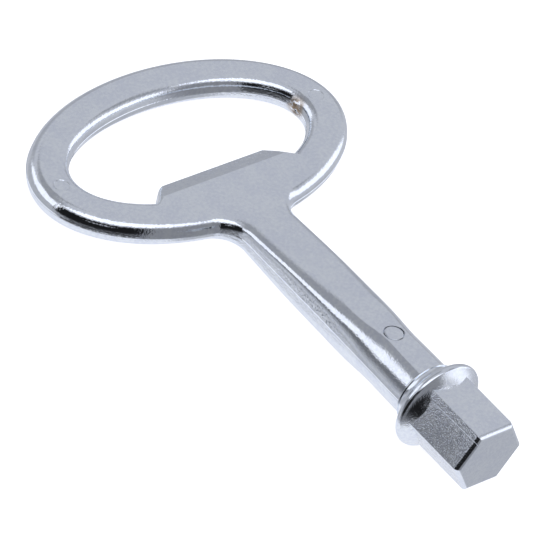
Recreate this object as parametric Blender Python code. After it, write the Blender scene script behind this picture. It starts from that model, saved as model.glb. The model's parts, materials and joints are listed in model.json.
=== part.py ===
"""Service key: an oval finger bow on a shank, and a hexagonal drive bit held in the shank by a cross pin.

The key is modelled along its own axis: +Y runs from the bit's end face to the bow, +X across the bow and
+Z out of the bow's flat. An empty then lays it down as it rests on a table, on its collar and its bow.
"""

import math

import bmesh
import bpy
from mathutils import Matrix, Vector

MM = 0.001

# Fits
JOINT_GAP = 0.3 * MM            # between the bit and the handle, and round the cross pin

# Bit: hexagonal drive, collar, and a tang inside the shank
HEX_ACROSS_FLATS = 8.0 * MM
HEX_FLAT_LENGTH = 7.45 * MM     # from the end face to where the collar's cove starts on each flat
HEX_CORNER_FLAT = 0.3 * MM      # width of the narrow strip that breaks each long edge
HEX_END_ROUNDING = 0.45 * MM
COLLAR_STEP = 0.88 * MM         # how far the collar stands out over the hexagon's corners
COLLAR_FRONT_LENGTH = 1.6 * MM  # from the start of the cove to the collar's widest place
COLLAR_BACK_LENGTH = 2.25 * MM  # from there to the seat against the shank
COLLAR_RIM_RADIUS = 0.6 * MM
COLLAR_SEAT_STEP = 0.15 * MM    # how far the seat stands out over the shank
RIM_FRONT_ANGLE = 35            # degrees of the rim's rounding before it meets the cove at a crisp line
RIM_BACK_ANGLE = 60
TANG_DIAMETER = 4.2 * MM
TANG_ACROSS_FLATS = 3.4 * MM
TANG_LENGTH = 9.5 * MM          # the part inside the shank
TANG_CHAMFER = 0.4 * MM

# Shank: a round bar with a flat above and below, which thins into the bow
SHANK_LENGTH = 29.5 * MM        # from the bit's seat to the bow's near edge
SHANK_RADIUS = 3.6 * MM
FLAT_DEPTH = 0.35 * MM          # how deep each flat is cut into the round bar, near the bit
FLAT_EDGE_RADIUS = 0.3 * MM
PARALLEL_LENGTH = 6.9 * MM      # the two flats are parallel over this length from the bit's end
NECK_HALF_WIDTH = 3.45 * MM
NECK_FILLET_RADIUS = 3.2 * MM

# Bow: an oval ring, flat on both sides
BOW_HALF_WIDTH = 20.6 * MM
BOW_HALF_LENGTH = 12.8 * MM
BOW_THICKNESS = 3.2 * MM
BOW_EDGE_RADIUS = 1.0 * MM
HOLE_HALF_WIDTH = 15.7 * MM
HOLE_HALF_LENGTH = 8.0 * MM
HOLE_EDGE_RADIUS = 0.9 * MM

# Lip: a straight bevelled blade across the near part of the bow's hole
LIP_REACH = 3.77 * MM           # from the hole's oval near end to the lip's edge
LIP_HALF_WIDTH = 7.1 * MM
LIP_BEVEL_LENGTH = 2.07 * MM
LIP_EDGE_THICKNESS = 1.6 * MM
LIP_END_RUN = 2.6 * MM          # how far each end of the lip slopes outwards, down to the hole's edge
LIP_BEVEL_FLARE = 1.5 * MM      # how much further out the bevel ends on the flat than at the lip's edge

# Cross pin, through the shank and the tang
PIN_DIAMETER = 2.0 * MM
PIN_FROM_SHANK_END = 6.1 * MM
PIN_CHAMFER = 0.15 * MM
PIN_RECESS = 0.05 * MM          # each end lies this far below the shank's flat

# Places along the key, from the drive's end face
COLLAR_Y = HEX_FLAT_LENGTH + COLLAR_FRONT_LENGTH
SEAT_Y = COLLAR_Y + COLLAR_BACK_LENGTH
SHANK_END_Y = SEAT_Y + JOINT_GAP
PIN_Y = SHANK_END_Y + PIN_FROM_SHANK_END
TANG_END_Y = SHANK_END_Y + TANG_LENGTH
RAMP_END_Y = SHANK_END_Y + PARALLEL_LENGTH
RAMP_START_Y = SHANK_END_Y + SHANK_LENGTH
TAPER_END_Y = RAMP_START_Y - NECK_FILLET_RADIUS
BOW_CENTRE_Y = RAMP_START_Y + BOW_HALF_LENGTH
LIP_EDGE_Y = BOW_CENTRE_Y - HOLE_HALF_LENGTH + LIP_REACH

# Sizes across the key
HEX_APOTHEM = HEX_ACROSS_FLATS / 2
HEX_CORNER_RADIUS = HEX_APOTHEM / math.cos(math.pi / 6)
COLLAR_RADIUS = HEX_CORNER_RADIUS + COLLAR_STEP
COLLAR_SEAT_RADIUS = SHANK_RADIUS + COLLAR_SEAT_STEP
SHANK_HALF_HEIGHT = SHANK_RADIUS - FLAT_DEPTH

# Mesh fineness
OVAL_SEGMENTS = 96              # all round; a multiple of four
FILLET_SEGMENTS = 6
EDGE_SEGMENTS = 4               # across a rounded edge
SIDE_SEGMENTS = 3               # from a rounded edge to the middle plane
PARALLEL_SEGMENTS = 2           # along the shank's parallel stretch
RAMP_SEGMENTS = 10              # along the rest of the shank
LIP_SEGMENTS = 6                # along half of the lip's edge
LIP_END_SEGMENTS = 4            # along each sloping end of the lip
COVE_SEGMENTS = 6               # across each hollow side of the collar
RIM_SEGMENTS = 8
ROUND_SEGMENTS = 48             # round the bit and the cutters
PIN_SEGMENTS = 24


def clear_scene():
    for old in list(bpy.data.objects):
        bpy.data.objects.remove(old)


def material(name, colour, roughness, metallic):
    made = bpy.data.materials.new(name)
    made.use_nodes = True
    surface = made.node_tree.nodes["Principled BSDF"]
    surface.inputs["Base Color"].default_value = (*colour, 1.0)
    surface.inputs["Roughness"].default_value = roughness
    surface.inputs["Metallic"].default_value = metallic
    return made


def mesh_object(name, bm, surface=None, parent=None):
    """Turn a bmesh into an object with outward faces, smooth where it is round."""
    bmesh.ops.recalc_face_normals(bm, faces=bm.faces)
    mesh = bpy.data.meshes.new(name)
    bm.to_mesh(mesh)
    bm.free()
    mesh.shade_smooth()
    mesh.set_sharp_from_angle(angle=math.radians(30))
    made = bpy.data.objects.new(name, mesh)
    bpy.context.scene.collection.objects.link(made)
    made.parent = parent
    if surface:
        made.data.materials.append(surface)
    return made


def ellipse_point(half_width, half_length, centre_y, angle):
    return Vector((half_width * math.cos(angle), centre_y + half_length * math.sin(angle)))


def ellipse_normal(half_width, half_length, angle):
    return Vector((half_length * math.cos(angle), half_width * math.sin(angle))).normalized()


def solve(function, low, high):
    """The root of a rising function between two values, by halving."""
    for _ in range(60):
        middle = (low + high) / 2
        low, high = (middle, high) if function(middle) < 0 else (low, middle)
    return (low + high) / 2


def blend(first, second, share):
    return first + (second - first) * share


def share_between(low, high, value):
    return min(1.0, max(0.0, (value - low) / (high - low)))


# ---- The handle's outer edge -------------------------------------------------------------------------

def shank_half_width(y):
    return blend(SHANK_RADIUS, NECK_HALF_WIDTH, share_between(SHANK_END_Y, TAPER_END_Y, y))


def shank_half_height(y):
    return blend(SHANK_HALF_HEIGHT, BOW_THICKNESS / 2, share_between(RAMP_END_Y, RAMP_START_Y, y))


def shank_edge_radius(y):
    return blend(FLAT_EDGE_RADIUS, BOW_EDGE_RADIUS, share_between(RAMP_END_Y, RAMP_START_Y, y))


def plate_profile(edge_radius, thickness):
    """Points from the flat's edge round to the middle plane, as (depth from the outline, height)."""
    rounding = [(edge_radius * (1 - math.sin(turn)), thickness / 2 - edge_radius * (1 - math.cos(turn)))
                for turn in (math.pi / 2 * i / EDGE_SEGMENTS for i in range(EDGE_SEGMENTS + 1))]
    side_top = thickness / 2 - edge_radius
    side = [(0.0, side_top * (1 - i / SIDE_SEGMENTS)) for i in range(1, SIDE_SEGMENTS + 1)]
    return rounding + side


def bar_profile(y):
    """The same points on the shank: a circle cut by a flat, with the edge between them rounded."""
    radius = shank_half_width(y)
    height = shank_half_height(y)
    edge = shank_edge_radius(y)
    flat = math.sqrt((radius - edge) ** 2 - (height - edge) ** 2)
    corner = math.atan2(flat, height - edge)
    points = []
    for i in range(EDGE_SEGMENTS + 1):
        turn = corner * i / EDGE_SEGMENTS
        points.append((radius - flat - edge * math.sin(turn), height - edge * (1 - math.cos(turn))))
    for i in range(1, SIDE_SEGMENTS + 1):
        turn = blend(corner, math.pi / 2, i / SIDE_SEGMENTS)
        points.append((radius * (1 - math.sin(turn)), radius * math.cos(turn)))
    return points


def outer_stations():
    """Right half of the outline, from the shank's end to the bow's far end: (point, normal, profile)."""
    def fillet_miss(angle):
        touch = ellipse_point(BOW_HALF_WIDTH, BOW_HALF_LENGTH, BOW_CENTRE_Y, angle)
        centre = touch + ellipse_normal(BOW_HALF_WIDTH, BOW_HALF_LENGTH, angle) * NECK_FILLET_RADIUS
        return centre.x - NECK_HALF_WIDTH - NECK_FILLET_RADIUS

    touch_angle = solve(fillet_miss, -math.pi / 2, 0.0)
    touch = ellipse_point(BOW_HALF_WIDTH, BOW_HALF_LENGTH, BOW_CENTRE_Y, touch_angle)
    touch_normal = ellipse_normal(BOW_HALF_WIDTH, BOW_HALF_LENGTH, touch_angle)
    centre = touch + touch_normal * NECK_FILLET_RADIUS
    plate = plate_profile(BOW_EDGE_RADIUS, BOW_THICKNESS)

    stations = []
    shank_ys = [blend(SHANK_END_Y, RAMP_END_Y, i / PARALLEL_SEGMENTS) for i in range(PARALLEL_SEGMENTS)]
    shank_ys += [blend(RAMP_END_Y, centre.y, i / RAMP_SEGMENTS) for i in range(RAMP_SEGMENTS)]
    for y in shank_ys:
        stations.append((Vector((shank_half_width(y), y)), Vector((1.0, 0.0)), bar_profile(y)))
    sweep = math.atan2(-touch_normal.y, touch_normal.x)
    for i in range(FILLET_SEGMENTS + 1):
        share = i / FILLET_SEGMENTS
        turn = sweep * share
        normal = Vector((math.cos(turn), -math.sin(turn)))
        point = centre - normal * NECK_FILLET_RADIUS
        bar = bar_profile(point.y)
        profile = [(blend(a[0], b[0], share), blend(a[1], b[1], share)) for a, b in zip(bar, plate)]
        stations.append((point, normal, profile))
    first = math.ceil((touch_angle + math.pi / 2) / (2 * math.pi) * OVAL_SEGMENTS + 0.25)
    for i in range(first, OVAL_SEGMENTS // 2 + 1):
        angle = 2 * math.pi * i / OVAL_SEGMENTS - math.pi / 2
        point = ellipse_point(BOW_HALF_WIDTH, BOW_HALF_LENGTH, BOW_CENTRE_Y, angle)
        normal = ellipse_normal(BOW_HALF_WIDTH, BOW_HALF_LENGTH, angle)
        stations.append((point, normal, plate))
    return stations


# ---- The hole's edge, with the lip -------------------------------------------------------------------

def hole_stations():
    """Right half of the hole's edge, from the lip's middle round to the far end.

    Each station is an edge point, a flat point and a share of lip.

    The edge point is on the hole's wall. The flat point is where the bow's flat starts. The share is 1 on the
    lip, whose bevel is straight, and 0 round the rest of the hole, whose edge is rounded.
    """
    notch_x = LIP_HALF_WIDTH + LIP_END_RUN
    notch_angle = -math.acos(notch_x / HOLE_HALF_WIDTH)
    notch = ellipse_point(HOLE_HALF_WIDTH, HOLE_HALF_LENGTH, BOW_CENTRE_Y, notch_angle)
    normal = ellipse_normal(HOLE_HALF_WIDTH, HOLE_HALF_LENGTH, notch_angle)
    notch_flat = notch + normal * HOLE_EDGE_RADIUS
    corner = Vector((LIP_HALF_WIDTH, LIP_EDGE_Y))
    corner_flat = Vector((LIP_HALF_WIDTH + LIP_BEVEL_FLARE, LIP_EDGE_Y - LIP_BEVEL_LENGTH))

    stations = []
    for i in range(LIP_SEGMENTS):
        share = i / LIP_SEGMENTS
        edge_point = Vector((corner.x * share, corner.y))
        flat_point = Vector((corner_flat.x * share, corner_flat.y))
        stations.append((edge_point, flat_point, 1.0))
    for i in range(LIP_END_SEGMENTS + 1):
        share = i / LIP_END_SEGMENTS
        stations.append((corner.lerp(notch, share), corner_flat.lerp(notch_flat, share), 1.0 - share))
    first = math.ceil((notch_angle + math.pi / 2) / (2 * math.pi) * OVAL_SEGMENTS + 0.25)
    for i in range(first, OVAL_SEGMENTS // 2 + 1):
        angle = 2 * math.pi * i / OVAL_SEGMENTS - math.pi / 2
        point = ellipse_point(HOLE_HALF_WIDTH, HOLE_HALF_LENGTH, BOW_CENTRE_Y, angle)
        normal = ellipse_normal(HOLE_HALF_WIDTH, HOLE_HALF_LENGTH, angle)
        stations.append((point, point + normal * HOLE_EDGE_RADIUS, 0.0))
    return stations


def hole_column(edge, flat, lip_share):
    """Points from the bow's flat down to the middle plane at one station of the hole."""
    half = BOW_THICKNESS / 2
    rounded = plate_profile(HOLE_EDGE_RADIUS, BOW_THICKNESS)
    column = []
    for i, (depth, height) in enumerate(rounded):
        if i <= EDGE_SEGMENTS:
            straight = 1 - i / EDGE_SEGMENTS
            bevel_height = blend(LIP_EDGE_THICKNESS / 2, half, straight)
        else:
            straight = 0.0
            bevel_height = LIP_EDGE_THICKNESS / 2 * (1 - (i - EDGE_SEGMENTS) / SIDE_SEGMENTS)
        reach = blend(depth / HOLE_EDGE_RADIUS, straight, lip_share)
        point = edge.lerp(flat, reach)
        column.append(Vector((point.x, point.y, blend(height, bevel_height, lip_share))))
    return column


# ---- Meshes ------------------------------------------------------------------------------------------

def mirrored_column(column):
    """A column from the upper flat down to the middle plane, carried on to the lower flat."""
    return column + [Vector((p.x, p.y, -p.z)) for p in reversed(column[:-1])]


def mirror_stations(right, closed):
    """Add the left half to columns that run from x = 0, or from the shank's end, to x = 0 at the far end."""
    skip = right[1:-1] if closed else right[:-1]
    left = [[Vector((-p.x, p.y, p.z)) for p in column] for column in reversed(skip)]
    return right + left


def add_band(bm, columns, closed):
    """Quads between neighbouring columns of points; gives back the vertices, column by column."""
    rows = [[bm.verts.new(p) for p in column] for column in columns]
    pairs = list(zip(rows, rows[1:]))
    if closed:
        pairs.append((rows[-1], rows[0]))
    for here, there in pairs:
        for i in range(len(here) - 1):
            bm.faces.new((here[i], here[i + 1], there[i + 1], there[i]))
    return rows


def handle_mesh():
    bm = bmesh.new()
    outer = []
    for point, normal, profile in outer_stations():
        column = [Vector((*(point - normal * depth), height)) for depth, height in profile]
        outer.append(mirrored_column(column))
    outer_rows = add_band(bm, mirror_stations(outer, False), False)

    hole = [mirrored_column(hole_column(*station)) for station in hole_stations()]
    hole_rows = add_band(bm, mirror_stations(hole, True), True)

    shank_count = PARALLEL_SEGMENTS + RAMP_SEGMENTS + FILLET_SEGMENTS
    for side in (0, -1):
        for i in range(shank_count):
            a, b = outer_rows[i][side], outer_rows[i + 1][side]
            c, d = outer_rows[-2 - i][side], outer_rows[-1 - i][side]
            bm.faces.new((a, b, c, d))
        rim = [row[side] for row in outer_rows[shank_count:len(outer_rows) - shank_count]]
        ring = [row[side] for row in hole_rows]
        edges = [bm.edges.get(pair) or bm.edges.new(pair) for pair in zip(rim, rim[1:] + rim[:1])]
        edges += [bm.edges.get(pair) or bm.edges.new(pair) for pair in zip(ring, ring[1:] + ring[:1])]
        bmesh.ops.triangle_fill(bm, use_beauty=True, edges=edges)
    bm.faces.new(outer_rows[0] + list(reversed(outer_rows[-1])))
    return bm


def cutter(name, bm, parent):
    made = mesh_object(name, bm, parent=parent)
    made.hide_render = True
    made.display_type = "WIRE"
    return made


def cut(body, tool, operation="DIFFERENCE"):
    change = body.modifiers.new(tool.name, "BOOLEAN")
    change.operation = operation
    change.object = tool
    change.solver = "EXACT"


def cylinder_mesh(radius, start, end, segments, chamfer=0.0):
    """A closed cylinder between two points, with both rims chamfered."""
    bm = bmesh.new()
    axis = (end - start).normalized()
    turn = axis.to_track_quat("Z", "Y").to_matrix()
    steps = [(start, radius - chamfer), (start + axis * chamfer, radius),
             (end - axis * chamfer, radius), (end, radius - chamfer)]
    if not chamfer:
        steps = [steps[0], steps[-1]]
    rings = []
    for centre, ring_radius in steps:
        angles = [2 * math.pi * i / segments for i in range(segments)]
        rings.append([bm.verts.new(centre + turn @ Vector((math.cos(a), math.sin(a), 0)) * ring_radius)
                      for a in angles])
    for low, high in zip(rings, rings[1:]):
        for i in range(segments):
            j = (i + 1) % segments
            bm.faces.new((low[i], low[j], high[j], high[i]))
    bm.faces.new(rings[0])
    bm.faces.new(rings[-1])
    return bm


def tang_mesh(gap, start_y, end_y, chamfer):
    """The tang, or with a gap its socket: a round bar with two flats, facing +Z and -Z."""
    radius = TANG_DIAMETER / 2 + gap
    flat = TANG_ACROSS_FLATS / 2 + gap
    corner = math.acos(flat / radius)
    quarter = ROUND_SEGMENTS // 4
    turns = [blend(corner, math.pi - corner, i / (2 * quarter)) for i in range(2 * quarter + 1)]
    right = [Vector((radius * math.sin(turn), radius * math.cos(turn))) for turn in turns]
    outline = right + [Vector((-p.x, -p.y)) for p in right]
    bm = bmesh.new()
    steps = [(start_y, 1.0), (end_y - chamfer, 1.0), (end_y, 1 - chamfer / flat)]
    if not chamfer:
        steps = steps[:2]
    rings = [[bm.verts.new((p.x * share, y, p.y * share)) for p in outline] for y, share in steps]
    for low, high in zip(rings, rings[1:]):
        for i in range(len(low)):
            j = (i + 1) % len(low)
            bm.faces.new((low[i], low[j], high[j], high[i]))
    bm.faces.new(rings[0])
    bm.faces.new(rings[-1])
    return bm


def turned_mesh(profile, segments):
    """A closed body turned about the Y axis from (y, radius) points; the ends are capped."""
    bm = bmesh.new()
    rings = []
    for y, radius in profile:
        angles = [2 * math.pi * i / segments for i in range(segments)]
        rings.append([bm.verts.new((radius * math.cos(a), y, radius * math.sin(a))) for a in angles])
    for low, high in zip(rings, rings[1:]):
        for i in range(segments):
            j = (i + 1) % segments
            bm.faces.new((low[i], low[j], high[j], high[i]))
    bm.faces.new(rings[0])
    bm.faces.new(rings[-1])
    return bm


def hexagon_mesh():
    """The drive: a hexagonal prism with flats above and below, its long edges and its end broken."""
    back = HEX_CORNER_FLAT / 2 / math.cos(math.pi / 6)
    outline = []
    for i in range(6):
        corner = Vector((math.cos(i * math.pi / 3), math.sin(i * math.pi / 3))) * HEX_CORNER_RADIUS
        for side in (-1, 1):
            along = (i + side * 2) * math.pi / 3
            step = Vector((math.cos(along), math.sin(along))) * back
            outline.append(corner + step)
    rounding = [(HEX_END_ROUNDING * (1 - math.cos(t)), HEX_END_ROUNDING * (1 - math.sin(t)))
                for t in (math.pi / 2 * i / EDGE_SEGMENTS for i in range(EDGE_SEGMENTS + 1))]
    steps = [(y, 1 - inset / HEX_APOTHEM) for y, inset in rounding]
    steps.append((COLLAR_Y, 1.0))
    bm = bmesh.new()
    rings = [[bm.verts.new((p.x * share, y, p.y * share)) for p in outline] for y, share in steps]
    for low, high in zip(rings, rings[1:]):
        for i in range(len(low)):
            j = (i + 1) % len(low)
            bm.faces.new((low[i], low[j], high[j], high[i]))
    bm.faces.new(rings[0])
    bm.faces.new(rings[-1])
    return bm


def curve_points(start, bend, end, count):
    """Points along a quadratic curve, without its start."""
    shares = [i / count for i in range(1, count + 1)]
    return [start.lerp(bend, share).lerp(bend.lerp(end, share), share) for share in shares]


def collar_profile():
    """(y, radius) points from inside the hexagon, out over the collar's rim, to its seat on the shank."""
    def rim_point(degrees):
        turn = math.radians(degrees)
        return Vector((COLLAR_Y + COLLAR_RIM_RADIUS * math.sin(turn),
                       COLLAR_RADIUS - COLLAR_RIM_RADIUS * (1 - math.cos(turn))))

    start = Vector((HEX_FLAT_LENGTH, HEX_APOTHEM))
    front = rim_point(-RIM_FRONT_ANGLE)
    front_bend = Vector((blend(start.x, front.x, 0.65), blend(start.y, front.y, 0.4)))
    back = rim_point(RIM_BACK_ANGLE)
    seat = Vector((SEAT_Y, COLLAR_SEAT_RADIUS))
    back_bend = Vector((blend(back.x, seat.x, 0.25), blend(back.y, seat.y, 0.9)))
    points = [start - Vector((JOINT_GAP, JOINT_GAP)), start]
    points += curve_points(start, front_bend, front, COVE_SEGMENTS)
    points += [rim_point(blend(-RIM_FRONT_ANGLE, RIM_BACK_ANGLE, i / RIM_SEGMENTS))
               for i in range(1, RIM_SEGMENTS + 1)]
    points += curve_points(back, back_bend, seat, COVE_SEGMENTS)
    return [(p.x, p.y) for p in points]


# ---- Assembly ----------------------------------------------------------------------------------------

def pin_cutter(name, reach, parent):
    """The hole for the cross pin, cut from above to below."""
    centre = Vector((0, PIN_Y, 0))
    half = Vector((0, 0, reach))
    hole = cylinder_mesh(PIN_DIAMETER / 2 + JOINT_GAP, centre - half, centre + half, PIN_SEGMENTS)
    return cutter(name, hole, parent)


def build_handle(parent, surface):
    handle = mesh_object("handle", handle_mesh(), surface, parent)
    socket = tang_mesh(JOINT_GAP, SHANK_END_Y - JOINT_GAP, TANG_END_Y + JOINT_GAP, 0.0)
    cut(handle, cutter("socket_cutter", socket, parent))
    cut(handle, pin_cutter("shank_pin_hole", 2 * SHANK_RADIUS, parent))
    return handle


def build_drive_bit(parent, surface):
    bit = mesh_object("drive_bit", hexagon_mesh(), surface, parent)
    collar = cutter("collar_form", turned_mesh(collar_profile(), ROUND_SEGMENTS), parent)
    cut(bit, collar, "UNION")
    tang = tang_mesh(0.0, COLLAR_Y, TANG_END_Y, TANG_CHAMFER)
    cut(bit, cutter("tang_form", tang, parent), "UNION")
    cut(bit, pin_cutter("tang_pin_hole", TANG_DIAMETER, parent))
    return bit, collar


def build_cross_pin(parent, surface):
    half = Vector((0, 0, shank_half_height(PIN_Y) - PIN_RECESS))
    centre = Vector((0, PIN_Y, 0))
    bm = cylinder_mesh(PIN_DIAMETER / 2, centre - half, centre + half, PIN_SEGMENTS, PIN_CHAMFER)
    return mesh_object("cross_pin", bm, surface, parent)


def resting_tilt():
    """The angle at which the collar's rim and the bow's far edge touch the same level surface."""
    rim_z = COLLAR_RADIUS - COLLAR_RIM_RADIUS
    edge_y = BOW_CENTRE_Y + BOW_HALF_LENGTH - BOW_EDGE_RADIUS
    edge_z = BOW_THICKNESS / 2 - BOW_EDGE_RADIUS

    def height_difference(tilt):
        rise = (edge_y - COLLAR_Y) * math.sin(tilt)
        return rise - (rim_z - edge_z) * math.cos(tilt) - COLLAR_RIM_RADIUS + BOW_EDGE_RADIUS

    return solve(height_difference, 0.0, math.pi / 4)


def lay_down(key_axis, pieces):
    """Tilt the key to rest on a table, and put the origin at the bottom centre of its box."""
    turn = Matrix.Rotation(-resting_tilt(), 4, "X")
    corners = [turn @ vertex.co for piece in pieces for vertex in piece.data.vertices]
    low = [min(corner[i] for corner in corners) for i in range(3)]
    high = [max(corner[i] for corner in corners) for i in range(3)]
    key_axis.rotation_euler = (-resting_tilt(), 0.0, 0.0)
    key_axis.location = (-(low[0] + high[0]) / 2, -(low[1] + high[1]) / 2, -low[2])


def build_key():
    clear_scene()
    key_axis = bpy.data.objects.new("key_axis", None)
    bpy.context.scene.collection.objects.link(key_axis)
    plated = material("plated_zinc", (0.47, 0.48, 0.51), 0.18, 1.0)
    bit_metal = material("plated_bit", (0.45, 0.46, 0.49), 0.26, 1.0)
    pin_metal = material("plated_pin", (0.46, 0.47, 0.50), 0.22, 1.0)
    handle = build_handle(key_axis, plated)
    bit, collar = build_drive_bit(key_axis, bit_metal)
    build_cross_pin(key_axis, pin_metal)
    lay_down(key_axis, (handle, bit, collar))


build_key()
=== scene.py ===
"""Looks of the service key: fine meshes of its three pieces, plated metal, a light tent, and the camera.

The pieces are built along the key's own axis, in millimetres: +Y from the drive's end face to the bow, +X
across the bow, +Z out of its flat. KEY_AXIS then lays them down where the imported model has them.
"""

import json
import math

import bmesh
import bpy
from mathutils import Matrix, Vector, noise
from mathutils.geometry import tessellate_polygon


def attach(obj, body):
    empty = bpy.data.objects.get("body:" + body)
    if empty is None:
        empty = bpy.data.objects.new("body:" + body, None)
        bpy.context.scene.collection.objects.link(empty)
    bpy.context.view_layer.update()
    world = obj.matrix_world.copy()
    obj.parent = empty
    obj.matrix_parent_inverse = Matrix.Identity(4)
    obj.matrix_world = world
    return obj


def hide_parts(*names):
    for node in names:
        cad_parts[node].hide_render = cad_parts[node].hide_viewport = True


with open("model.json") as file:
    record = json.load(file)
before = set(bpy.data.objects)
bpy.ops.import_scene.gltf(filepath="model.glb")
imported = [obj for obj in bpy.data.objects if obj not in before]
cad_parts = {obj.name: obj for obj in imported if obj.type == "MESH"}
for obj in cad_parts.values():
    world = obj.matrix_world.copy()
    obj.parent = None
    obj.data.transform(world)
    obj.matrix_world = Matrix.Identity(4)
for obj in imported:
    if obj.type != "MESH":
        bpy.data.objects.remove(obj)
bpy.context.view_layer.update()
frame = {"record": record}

MM = 0.001

# Drive bit, in millimetres
HEX_ACROSS_FLATS = 8.0
HEX_FLAT_LENGTH = 7.45
HEX_CORNER_RADIUS = 0.14
HEX_END_ROUNDING = 0.6
STRIP_CORNER = 2               # which of the hexagon's edges has a raised strip beside it
STRIP_TIP_WIDTH = 0.67
STRIP_COLLAR_WIDTH = 0.9
STRIP_HEIGHT = 0.12
COLLAR_Y = 9.05
COLLAR_RADIUS = 5.49
COLLAR_RIM_RADIUS = 0.6
COLLAR_ROOT_DEPTH = 0.3        # how deep inside the hexagon the collar starts
RIM_FRONT_ANGLE = 35
RIM_BACK_ANGLE = 60
RIM_EASE_ANGLE = 5             # over this turn the cove runs into the rim
COVE_BEND = (0.65, 0.4)        # where the cove bends: its shares of the way along the key and outwards
BACK_BEND = (0.25, 0.9)        # the same for the collar's back
SEAT_Y = 11.3
SEAT_RADIUS = 3.75
SEAT_BEAD_RADIUS = 0.11
SEAT_BEAD_SINK = 0.04          # how far the bead's middle lies inside the seat's radius

# Shank
SHANK_END_Y = 11.42
PARALLEL_END_Y = 17.5
RAMP_START_Y = 41.1            # where the bow's flat starts to ramp up to the shank's
SHANK_RADIUS = 3.6
FLAT_HALF_HEIGHT = 3.25
NECK_HALF_WIDTH = 3.45
NECK_FILLET_RADIUS = 3.2
TAPER_END_Y = 26.0
CROWN_START_Y = 15.0           # from here to CROWN_END_Y the section's crown sinks to just above the flat
CROWN_END_Y = 24.0
CROWN_RISE = 0.03
ROUND_END_Y = 18.0             # up to here the section is round, and from SQUARE_START_Y on it is squarish
SQUARE_START_Y = 32.0
SQUARENESS = 5.6
SHANK_EASE = 3.0               # lengths over which the shank's changes set in and end
CROWN_EASE = 4.0

# Bow
BOW_HALF_WIDTH = 20.6
BOW_HALF_LENGTH = 12.8
BOW_CENTRE_Y = 53.9
BOW_THICKNESS = 3.2
BOW_EDGE_RADIUS = 1.3
HOLE_HALF_WIDTH = 15.7
HOLE_HALF_LENGTH = 8.0
HOLE_EDGE_RADIUS = 1.15
LIP_EDGE_Y = 49.67
LIP_HALF_WIDTH = 7.1
LIP_BEVEL_LENGTH = 2.07
LIP_BEVEL_FLARE = 1.5
LIP_EDGE_THICKNESS = 1.6
LIP_END_RUN = 2.6
LIP_END_SWAY = 0.175           # how far the lip's slanted ends curve out and back in
LIP_END_OUTWARD = Vector((0.64, 0.77))

# Traces of casting
DRAFT_ANGLE = 4
PARTING_RIDGE = 0.05           # how far the parting line's ridge stands out, and half the height of its foot
PARTING_STEP = 0.12
FLAT_EDGE_ROUNDING = 0.16      # how far in from its edge a flat's rounding starts, and how far down it ends
FLAT_EDGE_DROP = 0.056
EJECTOR_X = 18.0
EJECTOR_RADIUS = 1.0
EJECTOR_DEPTH = 0.035
EJECTOR_RIM_RISE = 0.012
GATE_ANGLE = 3                 # where the gate was broken off, in degrees round the hole's oval
GATE_SPREAD = 3.6
GATE_HEIGHT = 0.24
GATE_TOP = 1.3                 # half height of the torn patch, and of the part where it is roughest
GATE_CORE = 0.6

# Cross pin
PIN_Y = 17.7
PIN_RADIUS = 1.08
PIN_HALF_LENGTH = 3.2
PIN_EDGE = ((0.2, 0.0), (0.09, 0.01), (0.02, 0.05), (0.0, 0.12))   # (in from its side, down from its end)
PIN_BORE_RADIUS = 1.16
PIN_BORE_EDGE = ((0.1, 0.0), (0.02, 0.03), (0.0, 0.5))             # (out from the bore, down from the flat)
PIN_PATCH_HALF_LENGTH = 1.9    # the part of the shank's flat that is meshed around the bore

# How fine the meshes are
OVAL_SEGMENTS = 360
FILLET_SEGMENTS = 20
EDGE_SEGMENTS = 22
SIDE_SEGMENTS = 4
LIP_SEGMENTS = 40
LIP_END_SEGMENTS = 16
SHANK_STEP = 0.35
ROUND_SEGMENTS = 192
CIRCLE_SEGMENTS = 48
HEX_CORNER_SEGMENTS = 4
HEX_END_SEGMENTS = 10
COVE_SEGMENTS = 28
EASE_SEGMENTS = 5
RIM_SEGMENTS = 24
BEAD_SEGMENTS = 8

# Edges sharper than these angles, in degrees, show as edges
SHARP_ANGLE = 15
BIT_SHARP_ANGLE = 17
PIN_SHARP_ANGLE = 40


def blend(first, second, share):
    return first + (second - first) * share


def share_between(low, high, value):
    return min(1.0, max(0.0, (value - low) / (high - low)))


def soft_share(low, high, value, softness):
    """share_between with its two corners rounded over the given length."""
    count = 8
    offsets = [softness * (i / count - 0.5) for i in range(count + 1)]
    return sum(share_between(low, high, value + offset) for offset in offsets) / len(offsets)


def key_axis_matrix():
    """From the key's own axes, in millimetres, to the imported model's frame, in metres.

    The record's drive_end is the middle of the hexagon's end face, and looks out along the key's own axis.
    """
    mounts = {mount["name"]: mount for mount in frame["record"]["mounts"]}
    origin = Vector(mounts["drive_end"]["pos_m"])
    along = -Vector(mounts["drive_end"]["axis"])
    lean = Matrix.Rotation(math.atan2(along.z, along.y), 4, "X")
    return Matrix.Translation(origin) @ lean @ Matrix.Diagonal((MM, MM, MM, 1.0))


KEY_AXIS = key_axis_matrix()


# ---- Sections of the handle --------------------------------------------------------------------------

def ellipse_point(half_width, half_length, angle):
    return Vector((half_width * math.cos(angle), BOW_CENTRE_Y + half_length * math.sin(angle)))


def ellipse_normal(half_width, half_length, angle):
    return Vector((half_length * math.cos(angle), half_width * math.sin(angle))).normalized()


def ellipse_angles(start):
    """Angles of the oval's points from just past the start, up its right half to its far end."""
    first = math.ceil((start + math.pi / 2) / (2 * math.pi) * OVAL_SEGMENTS + 0.25)
    return [2 * math.pi * i / OVAL_SEGMENTS - math.pi / 2 for i in range(first, OVAL_SEGMENTS // 2 + 1)]


def shank_half_width(y):
    return blend(SHANK_RADIUS, NECK_HALF_WIDTH, soft_share(SHANK_END_Y, TAPER_END_Y, y, SHANK_EASE))


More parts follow.
